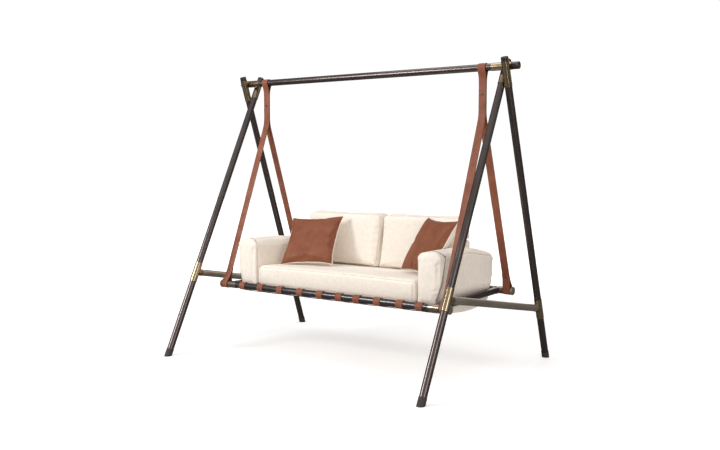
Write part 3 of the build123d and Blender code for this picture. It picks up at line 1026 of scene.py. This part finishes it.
def widen(name, bm, firstVertex, leftX, width, thickness, edgeRound):
    along = bm.verts.layers.float["along"]
    previous, vertex, total = None, firstVertex, 0.0
    while vertex:
        vertex[along] = total
        following = None
        for edge in vertex.link_edges:
            other = edge.other_vert(vertex)
            if other is not previous:
                following = other
                total += edge.calc_length()
        previous, vertex = vertex, following
    bmesh.ops.translate(bm, vec=(leftX, 0, 0), verts=bm.verts)
    grown = bmesh.ops.extrude_edge_only(bm, edges=bm.edges[:])
    moved = [item for item in grown["geom"] if isinstance(item, bmesh.types.BMVert)]
    bmesh.ops.translate(bm, vec=(width, 0, 0), verts=moved)
    bmesh.ops.subdivide_edges(bm, edges=boxEdges(bm, 0), cuts=3, use_grid_fill=True)
    bmesh.ops.recalc_face_normals(bm, faces=bm.faces)
    sheet = bm.loops.layers.uv.new("leather")
    for face in bm.faces:
        for loop in face.loops:
            loop[sheet].uv = (loop.vert.co.x - leftX, loop.vert[along])
    piece = newPiece(name, bm, finishes["belt"], finishes["beltEdge"])
    solid = piece.modifiers.new("thickness", "SOLIDIFY")
    solid.thickness = thickness
    solid.offset = 0
    solid.material_offset_rim = 1
    rounding = piece.modifiers.new("rounding", "BEVEL")
    rounding.width = edgeRound
    rounding.segments = 3
    rounding.limit_method = "ANGLE"
    rounding.angle_limit = radians(50)
    settle(piece)
    smoothAll(piece)
    return piece


yoke = {
    "width": boxSize("strap_front_left").x,
    "thickness": 0.0048,
    "edgeRound": 0.0013,
    "barThroat": 0.068,
    "railThroat": 0.090,
    "tail": 0.040,
    "barClear": 0.0004,
    "railClear": 0.0002,
    "layerGap": 0.0001,  # from each layer to the middle of the doubled strap
    "parting": 0.02,  # the straight run stops short of the place where the straps part
    "coarse": 0.02,
    "turnSteps": 22,
    "easeReach": 0.03,
    "easeRounds": 5,
}
bar = boxMiddle("top_bar")


def strapRun(sideName, endName, outward):
    # a strap's frame and length, from the rail's axis to the place where the straps part
    rail = boxMiddle("rail_" + endName)
    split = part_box("hanger_" + sideName)[0].z
    run = Vector((0, bar.y - rail.y, split - rail.z))
    up = run.normalized()
    out = Vector((0, outward * up.z, -outward * up.y))
    return (Vector((0, rail.y, rail.z)), up, out), run.length


def placeAt(strap, along, across):
    centre, up, out = strap
    place = centre + up * along + out * across
    return place.y, place.z


def wrapTube(bm, vertex, strap, radius, throat, across, spacing=bandStep):
    # closes round a tube: in on one side of the throat, round, and out on the other
    half = abs(across)
    turn = atan2(half, throat) + acos(radius / hypot(throat, half))
    reach = radius * sin(turn) * across / half
    vertex = drawTo(bm, vertex, *placeAt(strap, throat, across), spacing)
    bends = [vertex.co.copy()]
    vertex = drawTo(bm, vertex, *placeAt(strap, radius * cos(turn), reach))
    centre = strap[0]
    vertex = drawRound(bm, vertex, centre.y, centre.z, 2 * turn - 2 * pi, yoke["turnSteps"])
    vertex = drawTo(bm, vertex, *placeAt(strap, throat, -across))
    return vertex, [*bends, vertex.co.copy()]


def makeYoke(sideName):
    hangerNode = "hanger_" + sideName
    leftX, _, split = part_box(hangerNode)[0]
    tube, layer = boxSize("top_bar").z / 2, yoke["thickness"] / 2
    half, coarse, parting = layer + yoke["layerGap"], yoke["coarse"], yoke["parting"]
    throat, tail = yoke["railThroat"], yoke["tail"]
    radius = tube + yoke["railClear"] + layer
    barRadius = tube + yoke["barClear"] + layer
    bm = startBand()

    # front strap: tail, round the rail from inside to outside, then up
    front, length = strapRun(sideName, "front", -1)
    first = bm.verts.new((0, *placeAt(front, throat + tail, -half)))
    vertex, atFront = wrapTube(bm, first, front, radius, throat, -half)
    vertex = drawTo(bm, vertex, *placeAt(front, length - parting, half), coarse)
    # hanger: up the front, over the bar, down the rear
    vertex = drawTo(bm, vertex, bar.y - half, split + parting)
    hanger = (bar, Vector((0, 0, -1)), Vector((0, 1, 0)))
    vertex, atBar = wrapTube(bm, vertex, hanger, barRadius, yoke["barThroat"], -half, coarse)
    vertex = drawTo(bm, vertex, bar.y + half, split + parting, coarse)
    # rear strap: down, round the rail from outside to inside, and the tail
    rear, length = strapRun(sideName, "rear", 1)
    vertex = drawTo(bm, vertex, *placeAt(rear, length - parting, half))
    vertex, atRear = wrapTube(bm, vertex, rear, radius, throat, half, coarse)
    drawTo(bm, vertex, *placeAt(rear, throat + tail, -half))

    partings = [Vector((0, bar.y + way * half, split)) for way in (-1, 1)]
    bends = [*atFront, *atBar, *partings, *atRear]
    easeBends(bm, bends, yoke["easeReach"], yoke["easeRounds"])
    name = "yoke_" + sideName
    piece = widen(name, bm, first, leftX, yoke["width"], yoke["thickness"], yoke["edgeRound"])
    hangOnSwing(
        piece, "tan_leather", hangerNode, "strap_front_" + sideName, "strap_rear_" + sideName
    )


for sideName, _ in sides:
    makeYoke(sideName)
print("yokes made")

webbing = {
    "thickness": 0.0038,
    "edgeRound": 0.0010,
    "clear": 0.0004,
    "lowBack": 0.1075,  # the lowest point is this far behind the middle of the rails
    "throat": 0.046,
    "tail": 0.006,
    "turnSteps": 20,
    "frontSteps": 30,
    "easeReach": 0.012,
}
railFront, railRear = boxMiddle("rail_front"), boxMiddle("rail_rear")
railRadius = boxSize("rail_front").z / 2
bandRing = railRadius + webbing["clear"] + webbing["thickness"] / 2
bandLowY = (railFront.y + railRear.y) / 2 + webbing["lowBack"]
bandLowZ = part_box("webbing_01")[0].z + webbing["thickness"] / 2


def bandCurve(rail):
    # radius of the curve from a rail to the low point, and where it leaves the rail
    run = bandLowY - rail.y
    rise = rail.z - bandLowZ
    radius = (run * run + rise * rise - bandRing * bandRing) / (2 * (rise - bandRing))
    share = bandRing / (radius - bandRing)
    return radius, (rail.y - run * share, rail.z + (rise - radius) * share)


def bandHeight(y, lift):
    # height of the curve at y, raised by lift
    radius = bandCurve(railFront if y < bandLowY else railRear)[0]
    return bandLowZ + radius - ((radius - lift) ** 2 - (y - bandLowY) ** 2) ** 0.5


def makeWebbing(number):
    node = f"webbing_{number:02d}"
    low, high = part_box(node)
    offset = webbing["thickness"] * 1.03
    bm = startBand()

    def throatPlace(rail, inward, distance):
        y = rail.y + inward * distance
        return y, bandHeight(y, offset)

    throatY, throatZ = throatPlace(railFront, 1, webbing["throat"])
    first = bm.verts.new((0, *throatPlace(railFront, 1, webbing["throat"] + webbing["tail"])))
    vertex = drawTo(bm, first, throatY, throatZ)
    bends = [vertex.co.copy()]
    away = atan2(throatZ - railFront.z, throatY - railFront.y)
    touch = away + acos(bandRing / hypot(throatY - railFront.y, throatZ - railFront.z))
    place = (railFront.y + bandRing * cos(touch), railFront.z + bandRing * sin(touch))
    vertex = drawTo(bm, vertex, *place)
    frontRadius, (y, z) = bandCurve(railFront)
    leave = atan2(z - railFront.z, y - railFront.y) % (2 * pi)
    vertex = drawRound(bm, vertex, railFront.y, railFront.z, leave - touch, webbing["turnSteps"])
    sweep = atan2(bandLowY - y, bandLowZ + frontRadius - z)
    vertex = drawRound(bm, vertex, bandLowY, bandLowZ + frontRadius, sweep, webbing["frontSteps"])
    rearRadius, (y, z) = bandCurve(railRear)
    sweep = atan2(y - bandLowY, bandLowZ + rearRadius - z)
    vertex = drawRound(bm, vertex, bandLowY, bandLowZ + rearRadius, sweep, webbing["turnSteps"])
    leave = atan2(z - railRear.z, y - railRear.y)
    throatY, throatZ = throatPlace(railRear, -1, webbing["throat"])
    away = atan2(throatZ - railRear.z, throatY - railRear.y) % (2 * pi)
    touch = away - acos(bandRing / hypot(throatY - railRear.y, throatZ - railRear.z))
    vertex = drawRound(bm, vertex, railRear.y, railRear.z, touch - leave, webbing["turnSteps"])
    vertex = drawTo(bm, vertex, throatY, throatZ)
    bends.append(vertex.co.copy())
    drawTo(bm, vertex, *throatPlace(railRear, -1, webbing["throat"] + webbing["tail"]))
    easeBends(bm, bends, webbing["easeReach"], 2)
    name = f"webbing_band_{number:02d}"
    width = high.x - low.x
    piece = widen(name, bm, first, low.x, width, webbing["thickness"], webbing["edgeRound"])
    hangOnSwing(piece, "tan_leather", node)


for number in range(1, 11):
    makeWebbing(number)
print("webbing made")

sofaBase = {
    "inset": 0.003,
    "round": 0.018,
    "voxel": 0.011,
    "relax": 2,
    "bulge": 0.004,
    "bulgeRun": (0.045, 0.12),  # how far in from a band and from the ends it is full
    "clear": 0.0012,
    "rimRun": 0.03,
    "rimLift": 0.016,
    "seamHeight": 0.085,
}


def makeBase():
    low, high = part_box("sofa_base")
    inset = Vector((1, 1, 1)) * sofaBase["inset"]
    bm = startBox(low + inset, high - inset)
    roundEdges(bm, boxEdges(bm, 2), sofaBase["round"], 4)
    piece = newPiece("sofaBase", bm, finishes["cream"])
    remesh(piece, sofaBase["voxel"])
    bands = [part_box(f"webbing_{number:02d}") for number in range(1, 11)]
    middle = (low.z + high.z) / 2

    def belly(x, y):
        # height of the underside: on the bands, and swelling down between them
        rest = bandHeight(y, webbing["thickness"] / 2 + sofaBase["clear"])
        gap = min(max(start.x - x, x - end.x, 0) for start, end in bands)
        bandRun, endRun = sofaBase["bulgeRun"]
        rounding = min(1.0, gap / bandRun)
        inFront = min(1.0, max(0.0, (y - low.y) / endRun), max(0.0, (high.y - y) / endRun))
        return rest + sofaBase["clear"] * 0.5 - sofaBase["bulge"] * rounding * inFront * inFront

    for vertex in piece.data.vertices:
        if vertex.co.z < middle:
            share = (high.z - vertex.co.z) / (high.z - low.z - inset.z)
            x, y, _ = vertex.co
            edgeIn = min(y - low.y, high.y - y, x - low.x, high.x - x) / sofaBase["rimRun"]
            rim = sofaBase["rimLift"] * (1 - min(1.0, max(0.0, edgeIn))) ** 2
            target = belly(x, y) + rim
            if vertex.co.z < target or share > 0.9:
                vertex.co.z = target
    relax(piece, sofaBase["relax"])
    subdivide(piece)
    ripple(piece, 0.0008, 0.12, 61.0)
    level = low.z + sofaBase["seamHeight"]
    corners = [
        (low.x, low.y, level), (high.x, low.y, level),
        (high.x, high.y, level), (low.x, high.y, level),
    ]
    seams = sew(piece, [roundedLoop(corners, 0.02)], plainSeam)
    finishCushion(piece, "sofa_base", seams)


makeBase()
print("sofa base made")

pillow = {
    "side": 0.448,
    "thickness": 0.112,
    "segments": 54,
    "pinch": 0.040,  # how far the edges pull in between the corners
    "pressure": 5.0,
    "cap": 0.020,
    "pipingRadius": 0.0038,
    # shift from the node's middle; turn about the vertical, lean backwards and roll in degrees
    "left": ((0.004, 0.0, -0.010), (11.5, 37.5, 4.0)),
    "right": ((0.028, 0.004, -0.004), (-30.0, 31.0, 0.0)),
}


def pillowAxes(turn, lean, roll):
    turn, lean, roll = radians(turn), radians(lean), radians(roll)
    across = Vector((cos(turn), sin(turn), 0))
    rearward = Vector((-sin(turn), cos(turn), 0))
    upward = Vector((0, 0, 1)) * cos(lean) + rearward * sin(lean)
    widthRun = across * cos(roll) + upward * sin(roll)
    facing = widthRun.cross(upward)
    heightRun = facing.cross(widthRun)
    return widthRun, heightRun, facing


def makePillow(sideName, seed):
    node = "pillow_" + sideName
    shift, turns = pillow[sideName]
    widthRun, heightRun, facing = pillowAxes(*turns)
    middle = boxMiddle(node) + Vector(shift)
    half = pillow["side"] / 2
    bm = bmesh.new()
    count = pillow["segments"]
    bmesh.ops.create_grid(bm, x_segments=count, y_segments=count, size=half)
    mirrored = bmesh.ops.duplicate(bm, geom=bm.verts[:] + bm.edges[:] + bm.faces[:])
    rear = [item for item in mirrored["geom"] if isinstance(item, bmesh.types.BMFace)]
    bmesh.ops.reverse_faces(bm, faces=rear)
    rearVerts = {vertex for face in rear for vertex in face.verts}
    for vertex in bm.verts:
        u, v = vertex.co.x / half, vertex.co.y / half
        onRim = max(abs(u), abs(v)) > 0.9999
        dome = 0.0 if onRim else ((1 - u ** 4) * (1 - v ** 4)) ** 0.55
        crease = noise.noise(Vector((u * 4.5, v * 4.5, seed)))
        height = pillow["thickness"] / 2 * dome + 0.02 * crease * dome * (1 - dome)
        pull = pillow["pinch"]
        vertex.co.x *= 1 - pull * (1 - v * v) * (0.4 + 0.6 * u * u)
        vertex.co.y *= 1 - pull * (1 - u * u) * (0.4 + 0.6 * v * v)
        vertex.co.z = -height if vertex in rearVerts else height
    for face in rear:
        face.material_index = 1
    bmesh.ops.remove_doubles(bm, verts=bm.verts, dist=0.0001)
    piece = newPiece("throwPillow_" + sideName, bm, finishes["pillow"], finishes["cream"])
    puff(piece, pillow["pressure"], pillow["cap"], frames=12)
    span = [max(abs(v.co[axis]) for v in piece.data.vertices) for axis in range(3)]
    wanted = (half, half, pillow["thickness"] / 2)
    place = Matrix.Translation(middle) @ Matrix((widthRun, heightRun, facing)).transposed().to_4x4()
    piece.data.transform(Matrix.Diagonal((*(w / s for w, s in zip(wanted, span)), 1)))
    subdivide(piece)
    piece.data.transform(place)
    yieldToSofa(piece)
    smoothAll(piece)
    piping = tubeLoops(
        "pillowPiping_" + sideName, [pillowRim(piece)], pillow["pipingRadius"], finishes["piping"]
    )
    hangOnSwing(piece, "rust_pillow_cover", node)
    hangOnSwing(piping, "rust_pillow_cover", node)


def yieldToSofa(piece):
    # the filling gives way where the pillow meets an arm, a back cushion or the seat
    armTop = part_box("arm_right")[1].z
    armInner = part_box("arm_right")[0].x - 0.002
    backLow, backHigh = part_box("back_cushion_right")
    slope = frontLean("back_cushion_right") / (backHigh.z - backLow.z)
    for vertex in piece.data.vertices:
        overArm = max(0.0, vertex.co.z - armTop + 0.02) * 1.6
        limit = armInner + overArm
        vertex.co.x = min(max(vertex.co.x, -limit), limit)
        front = backLow.y + slope * (vertex.co.z - backLow.z) - 0.010
        vertex.co.y = min(vertex.co.y, front)
        vertex.co.z = max(vertex.co.z, backLow.z + 0.006)


def pillowRim(piece):
    # the line where the leather front meets the cloth back, in order
    bm = bmesh.new()
    bm.from_mesh(piece.data)
    seam = [
        edge for edge in bm.edges
        if len(edge.link_faces) == 2
        and edge.link_faces[0].material_index != edge.link_faces[1].material_index
    ]
    along = {}
    for edge in seam:
        for vertex in edge.verts:
            along.setdefault(vertex, []).append(edge.other_vert(vertex))
    start = next(iter(along))
    line, previous, vertex = [start.co.copy()], start, along[start][0]
    while vertex is not start:
        line.append(vertex.co.copy())
        following = next(other for other in along[vertex] if other is not previous)
        previous, vertex = vertex, following
    bm.free()
    return line


for sideName, seed in (("left", 5.0), ("right", 17.0)):
    makePillow(sideName, seed)
print("pillows made")

# Snaps and rivets: a rolled collar under a low dome, on both faces
fastener = {
    "dome": 0.0022,
    "collar": 0.0012,
    "segments": 28,
    "rivetRadius": 0.0066,
    "rivetRise": 0.018,  # above the place where the strap closes round the rail
}


def addHead(bm, centre, outward, radius):
    turn = outward.to_track_quat("Z", "Y").to_matrix().to_4x4()
    place = Matrix.Translation(centre) @ turn
    profile = (
        (radius, 0.0), (radius, fastener["collar"] * 0.7), (radius * 0.93, fastener["collar"]),
        (radius * 0.78, fastener["collar"]), (radius * 0.74, fastener["collar"] * 0.6),
        (radius * 0.70, fastener["collar"] * 1.1), (radius * 0.50, fastener["dome"] * 0.92),
        (radius * 0.25, fastener["dome"] * 1.12), (0.0, fastener["dome"] * 1.2),
    )
    verts = [bm.verts.new((x, 0, z)) for x, z in profile]
    edges = [bm.edges.new(pair) for pair in zip(verts, verts[1:])]
    before = set(bm.verts) - set(verts)
    bmesh.ops.spin(
        bm, geom=verts + edges, cent=(0, 0, 0), axis=(0, 0, 1), angle=2 * pi,
        steps=fastener["segments"], use_merge=True,
    )
    made = [vertex for vertex in bm.verts if vertex not in before]
    bmesh.ops.remove_doubles(bm, verts=made, dist=0.00001)
    made = [vertex for vertex in bm.verts if vertex not in before]
    bmesh.ops.transform(bm, matrix=place, verts=made)


def makeFasteners(name, node, places):
    bm = bmesh.new()
    for centre, outward, radius, half in places:
        for direction in (1, -1):
            addHead(bm, centre + outward * (half * direction), outward * direction, radius)
    bmesh.ops.holes_fill(bm, edges=[edge for edge in bm.edges if edge.is_boundary], sides=0)
    bmesh.ops.recalc_face_normals(bm, faces=bm.faces)
    piece = newPiece(name, bm, finishes["snap"])
    smoothAll(piece)
    hangOnSwing(piece, "snap_metal", node)


snapLow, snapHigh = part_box("hanger_snaps")
snapHeight = (snapLow.z + snapHigh.z) / 2
snapRadius = (snapHigh.z - snapLow.z) / 2
beltHalf = yoke["thickness"] + 0.0002
snapPlaces = []
rivetPlaces = []
for sideName, side in sides:
    beltX = boxMiddle("hanger_" + sideName).x
    snapPlaces.append((Vector((beltX, bar.y, snapHeight)), Vector((0, 1, 0)), snapRadius, beltHalf))
    for endName, outward in (("front", -1), ("rear", 1)):
        strap, _ = strapRun(sideName, endName, outward)
        rise = yoke["railThroat"] + fastener["rivetRise"]
        centre = Vector((beltX, *placeAt(strap, rise, 0)))
        rivetPlaces.append((centre, strap[2], fastener["rivetRadius"], beltHalf))
makeFasteners("hangerSnaps", "hanger_snaps", snapPlaces)
makeFasteners("strapRivets", "strap_rivets", rivetPlaces)
print("snaps and rivets made")
